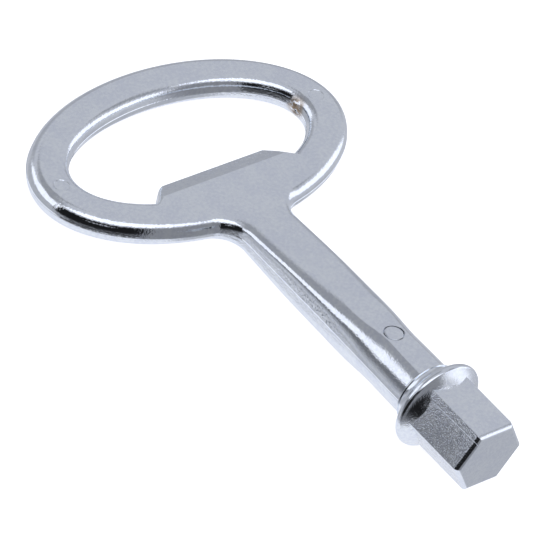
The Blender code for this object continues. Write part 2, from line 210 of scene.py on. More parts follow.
def flat_height(y):
    lowered = soft_share(PARALLEL_END_Y, RAMP_START_Y, y, SHANK_EASE)
    return blend(FLAT_HALF_HEIGHT, BOW_THICKNESS / 2, lowered)


def crown_height(y):
    """Half height that the shank's section would have without its flat."""
    sunk = soft_share(CROWN_START_Y, CROWN_END_Y, y, CROWN_EASE)
    return blend(SHANK_RADIUS, flat_height(y) + CROWN_RISE, sunk)


def section_power(y):
    """2 for a round section, more for a squarish one."""
    return blend(2.0, SQUARENESS, soft_share(ROUND_END_Y, SQUARE_START_Y, y, SHANK_EASE))


def normal_angles():
    """Directions of the surface, from the flat's edge down to the drafted side."""
    last = math.radians(90 - DRAFT_ANGLE)
    return [last * i / EDGE_SEGMENTS for i in range(EDGE_SEGMENTS + 1)]


def parted_side(depth, height):
    """The side from where its draft starts to the parting line, with the line's small ridge."""
    points = []
    for i in range(1, SIDE_SEGMENTS):
        share = i / SIDE_SEGMENTS
        points.append((blend(depth, PARTING_RIDGE, share), blend(height, PARTING_STEP, share)))
    points.append((PARTING_RIDGE, PARTING_STEP))
    points.append((0.0, PARTING_STEP / 2))
    points.append((0.0, 0.0))
    return points


def plate_profile(edge_radius):
    """Points (depth in from the outline, height) from the bow's flat to its parting line."""
    draft = math.radians(DRAFT_ANGLE)
    side_top = BOW_THICKNESS / 2 - edge_radius * (1 - math.sin(draft))
    side_depth = PARTING_RIDGE + side_top * math.tan(draft)
    points = []
    for angle in normal_angles():
        depth = side_depth + edge_radius * (math.cos(draft) - math.sin(angle))
        points.append((depth, BOW_THICKNESS / 2 - edge_radius * (1 - math.cos(angle))))
    return points + parted_side(side_depth, side_top)


def bar_profile(y):
    """Points (depth in from the outline, height) from the shank's flat to its parting line.

    The section is a superellipse that the flat cuts off, with a rounded edge between the two.
    """
    width = shank_half_width(y) - PARTING_RIDGE
    crown = crown_height(y)
    power = section_power(y)
    rooted = power / (power - 1)
    flat = flat_height(y)

    def section_point(angle):
        """Where the surface looks out at this angle from straight up."""
        across = width * math.sin(angle)
        upward = crown * math.cos(angle)
        scale = (across ** rooted + upward ** rooted) ** (-1 / power)
        return Vector((width * (scale ** (power - 1) * across) ** (1 / (power - 1)),
                       crown * (scale ** (power - 1) * upward) ** (1 / (power - 1))))

    def angle_at_height(height):
        low, high = 0.0, math.pi / 2
        for _ in range(40):
            middle = (low + high) / 2
            if section_point(middle).y > height:
                low = middle
            else:
                high = middle
        return low

    edge_angle = angle_at_height(flat - FLAT_EDGE_DROP)
    edge_end = section_point(edge_angle)
    corner = Vector((section_point(angle_at_height(flat)).x, flat))
    edge_start = Vector((corner.x - FLAT_EDGE_ROUNDING, flat))
    points = []
    for angle in normal_angles():
        if angle < edge_angle:
            point = curve_point(edge_start, corner, edge_end, angle / edge_angle)
        else:
            point = section_point(angle)
        points.append((width + PARTING_RIDGE - point.x, point.y))
    return points + parted_side(*points[-1])


def neck_fillet():
    """Centre of the neck's fillet, and the angle where it touches the bow's oval."""
    low, high = -math.pi / 2, 0.0
    for _ in range(60):
        angle = (low + high) / 2
        centre = (ellipse_point(BOW_HALF_WIDTH, BOW_HALF_LENGTH, angle)
                  + ellipse_normal(BOW_HALF_WIDTH, BOW_HALF_LENGTH, angle) * NECK_FILLET_RADIUS)
        if centre.x < NECK_HALF_WIDTH + NECK_FILLET_RADIUS:
            low = angle
        else:
            high = angle
    return centre, angle


# ---- Mesh helpers ------------------------------------------------------------------------------------

def curve_point(start, bend, end, share):
    """A point of the curve that leaves the start and reaches the end along lines to the bend."""
    return start.lerp(bend, share).lerp(bend.lerp(end, share), share)


def curve_points(start, bend, end, count):
    """Points of that curve, without its start."""
    return [curve_point(start, bend, end, i / count) for i in range(1, count + 1)]


def circle_loop(bm, x, y, z, radius):
    angles = [2 * math.pi * i / CIRCLE_SEGMENTS for i in range(CIRCLE_SEGMENTS)]
    return [bm.verts.new((x + radius * math.cos(a), y + radius * math.sin(a), z)) for a in angles]


def join_loops(bm, loops):
    """Faces all round between each loop of vertices and the next."""
    for first, second in zip(loops, loops[1:]):
        for i in range(len(first)):
            j = (i + 1) % len(first)
            bm.faces.new((first[i], first[j], second[j], second[i]))


def closed_form(bm, loops):
    """A solid form through the loops, closed at both ends."""
    join_loops(bm, loops)
    bm.faces.new(loops[0])
    bm.faces.new(loops[-1])


def fill_flat(bm, loops):
    """Fill an outline that has holes, all given as loops of vertices."""
    points = [vertex for loop in loops for vertex in loop]
    for triangle in tessellate_polygon([[vertex.co for vertex in loop] for loop in loops]):
        bm.faces.new([points[i] for i in triangle])


def finished_mesh(name, bm, sharp_angle):
    """The mesh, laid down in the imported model's frame."""
    bmesh.ops.recalc_face_normals(bm, faces=bm.faces)
    bm.transform(KEY_AXIS)
    mesh = bpy.data.meshes.new(name)
    bm.to_mesh(mesh)
    bm.free()
    mesh.shade_smooth()
    mesh.set_sharp_from_angle(angle=math.radians(sharp_angle))
    return mesh


# ---- Handle ------------------------------------------------------------------------------------------

def outer_stations():
    """Right half of the outline: (point, outward direction, profile), and the first station on the bow."""
    centre, touch_angle = neck_fillet()
    touch_normal = ellipse_normal(BOW_HALF_WIDTH, BOW_HALF_LENGTH, touch_angle)
    plate = plate_profile(BOW_EDGE_RADIUS)
    stations = []
    count = round((centre.y - SHANK_END_Y) / SHANK_STEP)
    for i in range(count):
        y = blend(SHANK_END_Y, centre.y, i / count)
        stations.append((Vector((shank_half_width(y), y)), Vector((1.0, 0.0)), bar_profile(y)))
    sweep = math.atan2(-touch_normal.y, touch_normal.x)
    for i in range(FILLET_SEGMENTS + 1):
        share = i / FILLET_SEGMENTS
        normal = Vector((math.cos(sweep * share), -math.sin(sweep * share)))
        point = centre - normal * NECK_FILLET_RADIUS
        bar = bar_profile(point.y)
        profile = [(blend(a[0], b[0], share), blend(a[1], b[1], share)) for a, b in zip(bar, plate)]
        stations.append((point, normal, profile))
    joined = len(stations) - 1
    for angle in ellipse_angles(touch_angle):
        stations.append((ellipse_point(BOW_HALF_WIDTH, BOW_HALF_LENGTH, angle),
                         ellipse_normal(BOW_HALF_WIDTH, BOW_HALF_LENGTH, angle), plate))
    return stations, joined


def hole_stations():
    """Right half of the hole: (edge point, point where the flat starts, share of lip)."""
    flat_depth = plate_profile(HOLE_EDGE_RADIUS)[0][0]
    notch_angle = -math.acos((LIP_HALF_WIDTH + LIP_END_RUN) / HOLE_HALF_WIDTH)
    notch = ellipse_point(HOLE_HALF_WIDTH, HOLE_HALF_LENGTH, notch_angle)
    notch_flat = notch + ellipse_normal(HOLE_HALF_WIDTH, HOLE_HALF_LENGTH, notch_angle) * flat_depth
    corner = Vector((LIP_HALF_WIDTH, LIP_EDGE_Y))
    corner_flat = Vector((LIP_HALF_WIDTH + LIP_BEVEL_FLARE, LIP_EDGE_Y - LIP_BEVEL_LENGTH))
    stations = []
    for i in range(LIP_SEGMENTS):
        share = i / LIP_SEGMENTS
        stations.append((Vector((corner.x * share, corner.y)),
                         Vector((corner_flat.x * share, corner_flat.y)), 1.0))
    for i in range(LIP_END_SEGMENTS + 1):
        share = i / LIP_END_SEGMENTS
        sway = LIP_END_OUTWARD * LIP_END_SWAY * math.sin(2 * math.pi * share)
        stations.append((corner.lerp(notch, share) + sway, corner_flat.lerp(notch_flat, share), 1.0 - share))
    for angle in ellipse_angles(notch_angle):
        point = ellipse_point(HOLE_HALF_WIDTH, HOLE_HALF_LENGTH, angle)
        normal = ellipse_normal(HOLE_HALF_WIDTH, HOLE_HALF_LENGTH, angle)
        stations.append((point, point + normal * flat_depth, 0.0))
    return stations


def hole_column(edge, flat, lip_share):
    """The hole's edge from the flat to the parting line: rounded, or bevelled where the lip is."""
    profile = plate_profile(HOLE_EDGE_RADIUS)
    full_depth = profile[0][0]
    side_top = profile[EDGE_SEGMENTS][1]
    column = []
    for i, (depth, height) in enumerate(profile):
        if i <= EDGE_SEGMENTS:
            straight = 1 - i / EDGE_SEGMENTS
            bevel_height = blend(LIP_EDGE_THICKNESS / 2, BOW_THICKNESS / 2, straight)
        else:
            straight = 0.0
            bevel_height = LIP_EDGE_THICKNESS / 2 * height / side_top
        reach = blend(depth / full_depth, straight, lip_share)
        point = edge.lerp(flat, reach)
        column.append(Vector((point.x, point.y, blend(height, bevel_height, lip_share))))
    return column


def roughen_gate(column):
    """Lumps where the gate was broken off the hole's inner wall."""
    middle = column[len(column) // 2]
    angle = math.atan2((middle.y - BOW_CENTRE_Y) / HOLE_HALF_LENGTH, middle.x / HOLE_HALF_WIDTH)
    away = (math.degrees(angle) - GATE_ANGLE) / GATE_SPREAD
    swell = GATE_HEIGHT * math.exp(-away * away)
    for point in column:
        lump = 0.55 + noise.noise(point * 1.3) + 0.3 * noise.noise(point * 3.1)
        point.x -= swell * share_between(GATE_TOP, GATE_CORE, abs(point.z)) * lump


def mirrored_column(column):
    """The column down to the parting line, and its mirror image below that."""
    return column + [Vector((p.x, p.y, -p.z)) for p in reversed(column[:-1])]


def mirrored_columns(right, closed):
    """The columns of the right half, and their mirror images back to where they began."""
    twins = right[1:-1] if closed else right[:-1]
    return right + [[Vector((-p.x, p.y, p.z)) for p in column] for column in reversed(twins)]


def outer_columns(stations):
    columns = []
    for point, normal, profile in stations:
        upper = [Vector((*(point - normal * depth), height)) for depth, height in profile]
        columns.append(mirrored_column(upper))
    return mirrored_columns(columns, closed=False)


def hole_columns():
    columns = [mirrored_column(hole_column(*station)) for station in hole_stations()]
    ring = mirrored_columns(columns, closed=True)
    for column in ring:
        roughen_gate(column)
    return ring


def add_band(bm, columns, closed):
    """The surface through the columns, and its vertices, column by column."""
    rows = [[bm.verts.new(p) for p in column] for column in columns]
    pairs = list(zip(rows, rows[1:]))
    if closed:
        pairs.append((rows[-1], rows[0]))
    for here, there in pairs:
        for i in range(len(here) - 1):
            bm.faces.new((here[i], here[i + 1], there[i + 1], there[i]))
    return rows


def ejector_mark(bm, x, up):
    """A shallow round mark in the bow's flat. Its rim stands a little proud."""
    loops = []
    for inset, rise in ((0.0, 0.0), (0.07, EJECTOR_RIM_RISE), (0.15, -EJECTOR_DEPTH)):
        height = BOW_THICKNESS / 2 + rise
        loops.append(circle_loop(bm, x, BOW_CENTRE_Y, up * height, EJECTOR_RADIUS - inset))
    join_loops(bm, loops)
    bm.faces.new(loops[-1])
    return loops[0]


def pin_bore(bm, up):
    """The cross pin's bore through the shank's flat, from its rounded mouth down."""
    loops = []
    for widening, sink in PIN_BORE_EDGE:
        loop = circle_loop(bm, 0.0, PIN_Y, 0.0, PIN_BORE_RADIUS + widening)
        for vertex in loop:
            vertex.co.z = up * (flat_height(vertex.co.y) - sink)
        loops.append(loop)
    join_loops(bm, loops)
    bm.faces.new(loops[-1])
    return loops[0]


def fill_shank_flat(bm, outer, joined, side, up):
    """The shank's flat on one side: strips across it, and a patch around the cross pin's bore."""
    around_pin = [i for i in range(joined) if abs(outer[i][0].co.y - PIN_Y) < PIN_PATCH_HALF_LENGTH]
    first, last = around_pin[0], around_pin[-1]
    for i in range(joined):
        if i < first or i >= last:
            bm.faces.new((outer[i][side], outer[i + 1][side], outer[-2 - i][side], outer[-1 - i][side]))
    window = [outer[i][side] for i in range(first, last + 1)]
    window += [outer[-1 - i][side] for i in range(last, first - 1, -1)]
    fill_flat(bm, [window, pin_bore(bm, up)])


def fill_bow_flat(bm, outer, hole, joined, side, up):
    """The bow's flat on one side, between its outline, its hole and the ejector marks."""
    loops = [[row[side] for row in outer[joined:len(outer) - joined]], [row[side] for row in hole]]
    for x in (EJECTOR_X, -EJECTOR_X):
        loops.append(ejector_mark(bm, x, up))
    fill_flat(bm, loops)


def handle_mesh():
    bm = bmesh.new()
    stations, joined = outer_stations()
    outer = add_band(bm, outer_columns(stations), closed=False)
    hole = add_band(bm, hole_columns(), closed=True)
    for side, up in ((0, 1), (-1, -1)):
        fill_shank_flat(bm, outer, joined, side, up)
        fill_bow_flat(bm, outer, hole, joined, side, up)
    bm.faces.new(outer[0] + list(reversed(outer[-1])))
    return finished_mesh("handle_casting", bm, SHARP_ANGLE)


# ---- Drive bit and pin -------------------------------------------------------------------------------

def rim_point(degrees):
    """A point (along the key, out from its axis) of the collar's round rim, which is widest at 0 degrees."""
    turn = math.radians(degrees)
    return Vector((COLLAR_Y + COLLAR_RIM_RADIUS * math.sin(turn),
                   COLLAR_RADIUS - COLLAR_RIM_RADIUS * (1 - math.cos(turn))))


def bend_between(start, end, shares):
    return Vector((blend(start.x, end.x, shares[0]), blend(start.y, end.y, shares[1])))


def collar_profile():
    """Points (along the key, out from its axis) of the cove, the rim, the back and the bead at its foot."""
    start = Vector((HEX_FLAT_LENGTH, HEX_ACROSS_FLATS / 2))
    front = rim_point(-RIM_FRONT_ANGLE)
    back = rim_point(RIM_BACK_ANGLE)
    seat = Vector((SEAT_Y - 2 * SEAT_BEAD_RADIUS, SEAT_RADIUS - SEAT_BEAD_SINK))
    cove = curve_points(start, bend_between(start, front, COVE_BEND), front, COVE_SEGMENTS)[:-1]
    rim = [rim_point(blend(RIM_EASE_ANGLE - RIM_FRONT_ANGLE, RIM_BACK_ANGLE, i / RIM_SEGMENTS))
           for i in range(RIM_SEGMENTS + 1)]
    points = [start - Vector((COLLAR_ROOT_DEPTH, COLLAR_ROOT_DEPTH)), start]
    points += cove + curve_points(cove[-1], front, rim[0], EASE_SEGMENTS)[:-1] + rim
    points += curve_points(back, bend_between(back, seat, BACK_BEND), seat, RIM_SEGMENTS)
    for i in range(1, BEAD_SEGMENTS + 1):
        turn = math.pi * i / BEAD_SEGMENTS
        points.append(Vector((SEAT_Y - SEAT_BEAD_RADIUS * (1 + math.cos(turn)),
                              SEAT_RADIUS - SEAT_BEAD_SINK + SEAT_BEAD_RADIUS * math.sin(turn))))
    return points


def collar_mesh():
    bm = bmesh.new()
    angles = [2 * math.pi * i / ROUND_SEGMENTS for i in range(ROUND_SEGMENTS)]
    closed_form(bm, [[bm.verts.new((p.y * math.cos(a), p.x, p.y * math.sin(a))) for a in angles]
                     for p in collar_profile()])
    return finished_mesh("collar_form", bm, SHARP_ANGLE)


def unit(degrees):
    return Vector((math.cos(math.radians(degrees)), math.sin(math.radians(degrees))))


def hexagon_outline(strip_width):
    """The hexagon's section, with rounded edges and the raised strip beside one of them."""
    half_turn = 30
    inner_apothem = HEX_ACROSS_FLATS / 2 - HEX_CORNER_RADIUS
    outline = []
    for i in range(6):
        centre = unit(60 * i) * inner_apothem / math.cos(math.radians(half_turn))
        lifted = unit(60 * i + half_turn) * STRIP_HEIGHT if i == STRIP_CORNER else Vector((0.0, 0.0))
        for step in range(HEX_CORNER_SEGMENTS + 1):
            share = step / HEX_CORNER_SEGMENTS
            turn = 60 * i + half_turn * (2 * share - 1)
            outline.append(centre + unit(turn) * HEX_CORNER_RADIUS + lifted * share)
        if i == STRIP_CORNER:
            along_flat = unit(60 * i + 120)
            edge = outline[-1] + along_flat * strip_width
            slope = along_flat * STRIP_HEIGHT
            outline += [edge, edge + slope * 0.5 - lifted * 0.3, edge + slope - lifted]
    return outline


def hexagon_mesh():
    """The hexagon, from its end face with rounded edges into the collar."""
    bm = bmesh.new()
    steps = []
    for i in range(HEX_END_SEGMENTS, -1, -1):
        turn = math.pi / 2 * i / HEX_END_SEGMENTS
        narrowing = HEX_END_ROUNDING * (1 - math.cos(turn)) / (HEX_ACROSS_FLATS / 2)
        steps.append((HEX_END_ROUNDING * (1 - math.sin(turn)), 1 - narrowing))
    steps.append((COLLAR_Y, 1.0))
    loops = []
    for y, share in steps:
        width = blend(STRIP_TIP_WIDTH, STRIP_COLLAR_WIDTH, share_between(0, HEX_FLAT_LENGTH, y))
        loops.append([bm.verts.new((p.x * share, y, p.y * share)) for p in hexagon_outline(width)])
    closed_form(bm, loops)
    return finished_mesh("hexagonal_bit", bm, SHARP_ANGLE)


def pin_mesh():
    bm = bmesh.new()
    upper = [(PIN_RADIUS - inset, PIN_HALF_LENGTH - drop) for inset, drop in PIN_EDGE]
    lower = [(radius, -height) for radius, height in reversed(upper)]
    closed_form(bm, [circle_loop(bm, 0.0, PIN_Y, height, radius) for radius, height in upper + lower])
    return finished_mesh("flush_pin", bm, PIN_SHARP_ANGLE)


# ---- Shader nodes ------------------------------------------------------------------------------------

def feed(tree, socket, value):
    """Link a socket to another one, or set it to a plain value."""
    if isinstance(value, bpy.types.NodeSocket):
        tree.links.new(value, socket)
    else:
        socket.default_value = value


def calculate(tree, operation, *values):
    """A Math node on sockets or numbers, and its result."""
    node = tree.nodes.new("ShaderNodeMath")
    node.operation = operation
    for socket, value in zip(node.inputs, values):
        feed(tree, socket, value)
    return node.outputs[0]


def mixed(tree, first, second, share):
    """The first value where the share is 0, the second where it is 1."""
    return calculate(tree, "MULTIPLY_ADD", share, calculate(tree, "SUBTRACT", second, first), first)


def graded(tree, value, low, high, first=0.0, second=1.0, interpolation="SMOOTHSTEP"):
    """From first to second as the value goes from low to high."""
    node = tree.nodes.new("ShaderNodeMapRange")
    node.interpolation_type = interpolation
    feed(tree, node.inputs["Value"], value)
    node.inputs["From Min"].default_value = low
    node.inputs["From Max"].default_value = high
    node.inputs["To Min"].default_value = first
    node.inputs["To Max"].default_value = second
    return node.outputs["Result"]


def parts_of(tree, vector):
    node = tree.nodes.new("ShaderNodeSeparateXYZ")
    tree.links.new(vector, node.inputs[0])
    return node.outputs


class MetalNodes:
    """Helpers that add nodes to one metal. Lengths are millimetres along the key's own axes."""

    def __init__(self, name):
        self.material = bpy.data.materials.new(name)
        self.material.use_nodes = True
        self.tree = self.material.node_tree
        self.surface = self.tree.nodes["Principled BSDF"]
        self.surface.inputs["Metallic"].default_value = 1.0
        location, rotation, scale = KEY_AXIS.inverted().decompose()
        own_axes = self.tree.nodes.new("ShaderNodeMapping")
        own_axes.inputs["Location"].default_value = location
        own_axes.inputs["Rotation"].default_value = rotation.to_euler()
        own_axes.inputs["Scale"].default_value = scale
        where = self.tree.nodes.new("ShaderNodeTexCoord").outputs["Object"]
        self.tree.links.new(where, own_axes.inputs["Vector"])
        self.place = own_axes.outputs["Vector"]
        self.x, self.y, self.z = parts_of(self.tree, self.place)

    def math(self, operation, *values):
        return calculate(self.tree, operation, *values)

    def mix(self, first, second, share):
        return mixed(self.tree, first, second, share)

    def ramp(self, value, low, high, first=0.0, second=1.0):
        return graded(self.tree, value, low, high, first, second)

    def band(self, value, rise, fall):
        """1 inside and 0 outside. Each soft end is given as where it is 0 and where it is 1."""
        return self.math("MULTIPLY", self.ramp(value, *rise), self.ramp(value, *fall))

    def inverse(self, share):
        return self.math("SUBTRACT", 1.0, share)

    def noise(self, scale, detail, distortion=0.0, offset=0.0):
        """Noise of the given number of waves to a millimetre."""
        shifted = self.tree.nodes.new("ShaderNodeVectorMath")
        shifted.operation = "ADD"
        shifted.inputs[1].default_value = (offset, offset, offset)
        self.tree.links.new(self.place, shifted.inputs[0])
        node = self.tree.nodes.new("ShaderNodeTexNoise")
        node.inputs["Scale"].default_value = scale
        node.inputs["Detail"].default_value = detail
        node.inputs["Distortion"].default_value = distortion
        self.tree.links.new(shifted.outputs[0], node.inputs["Vector"])
        return node.outputs["Fac"]

    def bump(self, height, depth, below=None):
        """Bumps of the given depth, on top of the normal below."""
        node = self.tree.nodes.new("ShaderNodeBump")
        node.inputs["Strength"].default_value = 1.0
        node.inputs["Distance"].default_value = depth * MM
        self.tree.links.new(height, node.inputs["Height"])
        if below is not None:
            self.tree.links.new(below, node.inputs["Normal"])
        return node.outputs["Normal"]

    def mix_colours(self, first, second, share):
        node = self.tree.nodes.new("ShaderNodeMix")
        node.data_type = "RGBA"
        feed(self.tree, node.inputs[0], share)
        feed(self.tree, node.inputs[6], first)
        feed(self.tree, node.inputs[7], second)
        return node.outputs[2]

    def mottled_colour(self):
        """The plating's colour, slightly darker and paler in small patches."""
        patches = self.math("MULTIPLY_ADD", self.noise(0.4, 3.0), 0.7, self.noise(2.6, 3.0, offset=20.0))
        return self.mix_colours(DARK_CHROME, PALE_CHROME, self.ramp(patches, 0.6, 1.1))

    def facing_up(self, lowest):
        """1 where the surface faces out of the key's flats, on either side, and 0 elsewhere."""
        dot = self.tree.nodes.new("ShaderNodeVectorMath")
        dot.operation = "DOT_PRODUCT"
        dot.inputs[1].default_value = (KEY_AXIS.to_3x3() @ Vector((0, 0, 1))).normalized()
        self.tree.links.new(self.tree.nodes.new("ShaderNodeNewGeometry").outputs["Normal"], dot.inputs[0])
        return self.ramp(self.math("ABSOLUTE", dot.outputs["Value"]), lowest, 1.0)

    def nearness(self, point, nothing_at, full_at):
        """1 close to a point, falling to 0 at some distance."""
        distance = self.tree.nodes.new("ShaderNodeVectorMath")
        distance.operation = "DISTANCE"
        distance.inputs[1].default_value = point
        self.tree.links.new(self.place, distance.inputs[0])
        return self.ramp(distance.outputs["Value"], nothing_at, full_at)

    def finish(self, colour, roughness, normal):
        self.tree.links.new(colour, self.surface.inputs["Base Color"])
        self.tree.links.new(roughness, self.surface.inputs["Roughness"])
        self.tree.links.new(normal, self.surface.inputs["Normal"])
        return self.material


# ---- Materials ---------------------------------------------------------------------------------------

DARK_CHROME = (0.84, 0.88, 0.95, 1.0)
PALE_CHROME = (0.93, 0.97, 1.0, 1.0)
PIT_COLOUR = (0.32, 0.34, 0.4, 1.0)
GATE_COLOUR = (0.42, 0.33, 0.24, 1.0)

# Roughness. A pair is the two ends of a range, and what is called extra is added to the rest.
FLAT_ROUGHNESS = (0.19, 0.27)
ROUNDED_ROUGHNESS = (0.05, 0.12)       # near the bow, and near the drive
BIT_ROUGHNESS = (0.15, 0.19)
PIN_ROUGHNESS = (0.18, 0.26)
COVE_EXTRA_ROUGHNESS = (-0.09, 0.12)   # at the cove's left, and at its right
RIM_EXTRA_ROUGHNESS = -0.07
GATE_EXTRA_ROUGHNESS = 0.35

# Depth of the bumps, in millimetres
FLAT_RIPPLE = 0.006
ROUNDED_RIPPLE = 0.017
PIT_DEPTH = 0.08
GRAIN_DEPTH = 0.034
SMOOTH_GRAIN_DEPTH = 0.004
FINE_DEPTH = 0.006

# The levels of noise between which a pattern goes from nothing to full
NOISE_SPAN = (0.3, 0.7)
PIT_NOISE = (0.575, 0.65)
TORN_NOISE = (0.36, 0.5)

# Where the metal changes, in millimetres along the key's own axes: the place where a change starts and the
# one where it is complete, and for an area two such pairs, one for each of its ends
DULLING_Y = (26.0, 16.0)
PITTED_Y = ((21.0, 25.0), (34.0, 28.0))
PITTED_Z = ((0.1, 0.5), (1.9, 1.0))
GRAINED_Y = ((0.1, 0.5), (HEX_FLAT_LENGTH + 1.6, HEX_FLAT_LENGTH + 0.2))
COVE_START_Y = (HEX_FLAT_LENGTH, HEX_FLAT_LENGTH + 0.3)
COVE_SATIN_X = (-2.6, -0.6)
RIM_START_Y = (COLLAR_Y - 0.45, COLLAR_Y - 0.25)
GATE_PLACE = (HOLE_HALF_WIDTH, BOW_CENTRE_Y + 0.4, 0.3)
GATE_REACH = (1.7, 0.5)

# From this much of facing straight out of the flat on, a surface starts to count as flat
FLAT_FACING = 0.985
HEX_FLAT_FACING = 0.8


def cast_chrome():
    """Chrome on a zinc casting: satin flats, bright roundings, pits low on the shank, a brown gate."""
    metal = MetalNodes("chromed_zinc")
    flat = metal.facing_up(FLAT_FACING)
    waves = metal.math("MULTIPLY_ADD", metal.noise(1.6, 3.0), 0.7, metal.noise(4.5, 2.0))
    height = metal.math("MULTIPLY", metal.mix(ROUNDED_RIPPLE, FLAT_RIPPLE, flat), waves)
    pit = metal.ramp(metal.noise(3.8, 3.0, distortion=0.4, offset=11.0), *PIT_NOISE)
    pitted_area = metal.math("MULTIPLY", metal.band(metal.z, *PITTED_Z), metal.band(metal.y, *PITTED_Y))
    pits = metal.math("MULTIPLY", pit, pitted_area)
    normal = metal.bump(pits, -PIT_DEPTH, metal.bump(height, 1.0))
    torn = metal.ramp(metal.noise(1.8, 3.0, distortion=0.4, offset=5.0), *TORN_NOISE)
    gate = metal.math("MULTIPLY", metal.nearness(GATE_PLACE, *GATE_REACH), torn)
    pitted = metal.mix_colours(metal.mottled_colour(), PIT_COLOUR, pits)
    satin = metal.ramp(metal.noise(0.9, 4.0), *NOISE_SPAN, *FLAT_ROUGHNESS)
    rounded = metal.ramp(metal.y, *DULLING_Y, *ROUNDED_ROUGHNESS)
    roughness = metal.math("MULTIPLY_ADD", gate, GATE_EXTRA_ROUGHNESS, metal.mix(rounded, satin, flat))
    return metal.finish(metal.mix_colours(pitted, GATE_COLOUR, gate), roughness, normal)


def grained_chrome():
    """Chrome on the drive: a fine grain on the hexagon's sides, a satin cove and a brighter rim."""
    metal = MetalNodes("chromed_bit")
    sides = metal.math("MULTIPLY", metal.inverse(metal.facing_up(HEX_FLAT_FACING)),
                       metal.band(metal.y, *GRAINED_Y))
    grain = metal.math("MULTIPLY_ADD", metal.noise(3.2, 2.0, offset=7.0), 0.5, metal.noise(7.5, 1.0))
    height = metal.math("MULTIPLY", grain, metal.mix(SMOOTH_GRAIN_DEPTH, GRAIN_DEPTH, sides))
    fine = metal.noise(2.2, 4.0, offset=3.0)
    normal = metal.bump(fine, FINE_DEPTH, metal.bump(height, 1.0))
    rim = metal.ramp(metal.y, *RIM_START_Y)
    cove = metal.math("MULTIPLY", metal.ramp(metal.y, *COVE_START_Y), metal.inverse(rim))
    satin = metal.ramp(fine, *NOISE_SPAN, *BIT_ROUGHNESS)
    roughness = metal.math("MULTIPLY_ADD", rim, RIM_EXTRA_ROUGHNESS, satin)
    extra = metal.ramp(metal.x, *COVE_SATIN_X, *COVE_EXTRA_ROUGHNESS)
    roughness = metal.math("MULTIPLY_ADD", cove, extra, roughness)
    return metal.finish(metal.mottled_colour(), roughness, normal)


def dressed_chrome():
    """Chrome on the pin's dressed end."""
    metal = MetalNodes("chromed_pin")
    fine = metal.noise(6.0, 3.0)
    roughness = metal.ramp(fine, *NOISE_SPAN, *PIN_ROUGHNESS)
    return metal.finish(metal.mottled_colour(), roughness, metal.bump(fine, FINE_DEPTH))


# ---- Pieces ------------------------------------------------------------------------------------------

def place_piece(mesh, node, surface):
    """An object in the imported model's frame that stands for a CAD node, named like its mesh."""
    mesh.materials.append(surface)
    piece = bpy.data.objects.new(mesh.name, mesh)
    bpy.context.scene.collection.objects.link(piece)
    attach(piece, "root")
    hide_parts(node)
    return piece


def weigh_normals(piece):
    """Let the large flats keep their own direction beside small roundings."""
    weighing = piece.modifiers.new("flat_normals", "WEIGHTED_NORMAL")
    weighing.weight = 50
    weighing.keep_sharp = True


def unite(piece, other_mesh):
    """Join another closed form to a piece, as one surface."""
    other = bpy.data.objects.new(other_mesh.name, other_mesh)
    bpy.context.scene.collection.objects.link(other)
    union = piece.modifiers.new("union", "BOOLEAN")
    union.operation = "UNION"
    union.object = other
    union.solver = "EXACT"
    bpy.context.view_layer.update()
    depsgraph = bpy.context.evaluated_depsgraph_get()
    united = bpy.data.meshes.new_from_object(piece.evaluated_get(depsgraph))
    piece.modifiers.clear()
    piece.data = united
    bpy.data.objects.remove(other)


def build_handle():
    weigh_normals(place_piece(handle_mesh(), "handle", cast_chrome()))


def build_bit():
    piece = place_piece(hexagon_mesh(), "drive_bit", grained_chrome())
    unite(piece, collar_mesh())
    piece.data.shade_smooth()
    piece.data.set_sharp_from_angle(angle=math.radians(BIT_SHARP_ANGLE))
    weigh_normals(piece)


def build_pin():
    place_piece(pin_mesh(), "cross_pin", dressed_chrome())


# ---- Studio ------------------------------------------------------------------------------------------

# Panels of the light tent, seen from the key: azimuth of the middle, half width and side softness, lowest
# elevation and its softness, highest elevation and its softness, all in degrees, then the grey level as
# displayed, where 1 is white. Azimuth 0 is +X, and the camera looks in from -141. A panel covers those
# before it.
TENT_BASE = 0.745
TENT_PANELS = {
    "floor_glow": (0, 180, 1, -90, 1, -44, 9, 0.92),
    "low_side": (0, 110, 20, -36, 16, 2, 12, 0.75),
    "tip_shade": (-41, 22, 14, -52, 12, -30, 8, 0.70),
    "back_left_shade": (105, 32, 14, 36, 9, 64, 9, 0.59),
    "back_shade": (57, 24, 12, -10, 8, 17, 8, 0.655),
    "right_shade": (-84, 15, 10, -38, 6, 43, 6, 0.58),
    "right_gap": (-25, 17, 10, 42, 6, 55, 6, 0.59),
    "right_window": (-30, 23, 9, -5, 7, 30, 7, 1.06),
    "left_low_shade": (138, 34, 14, -40, 10, -3, 6, 0.68),
    "left_window_low": (118, 12, 8, 1, 5, 25, 5, 1.02),
    "left_window": (144, 22, 6, -3, 5, 38, 9, 1.0),
    "top_window": (-122, 68, 9, 51, 5, 84, 5, 1.08),
    "opening_frame": (-120, 44, 8, -40, 6, 43, 6, 0.52),
    "opening": (-146, 36, 6, -26, 26, 39, 7, 0.13),
    "opening_gleam": (-137, 8, 3, 19, 3, 25, 3, 0.68),
}
DISPLAY_GAMMA = 2.2
TENT_TINT = (0.965, 0.988, 1.08, 1.0)
BACKDROP_COLOUR = (0.98, 0.98, 0.98, 1.0)

FLOOR_REACH = 3.0              # metres from the key to the floor's sides
FLOOR_COLOUR = (0.9, 0.9, 0.9, 1.0)
FLOOR_ROUGHNESS = 0.9
FLOOR_GLOW = 0.75

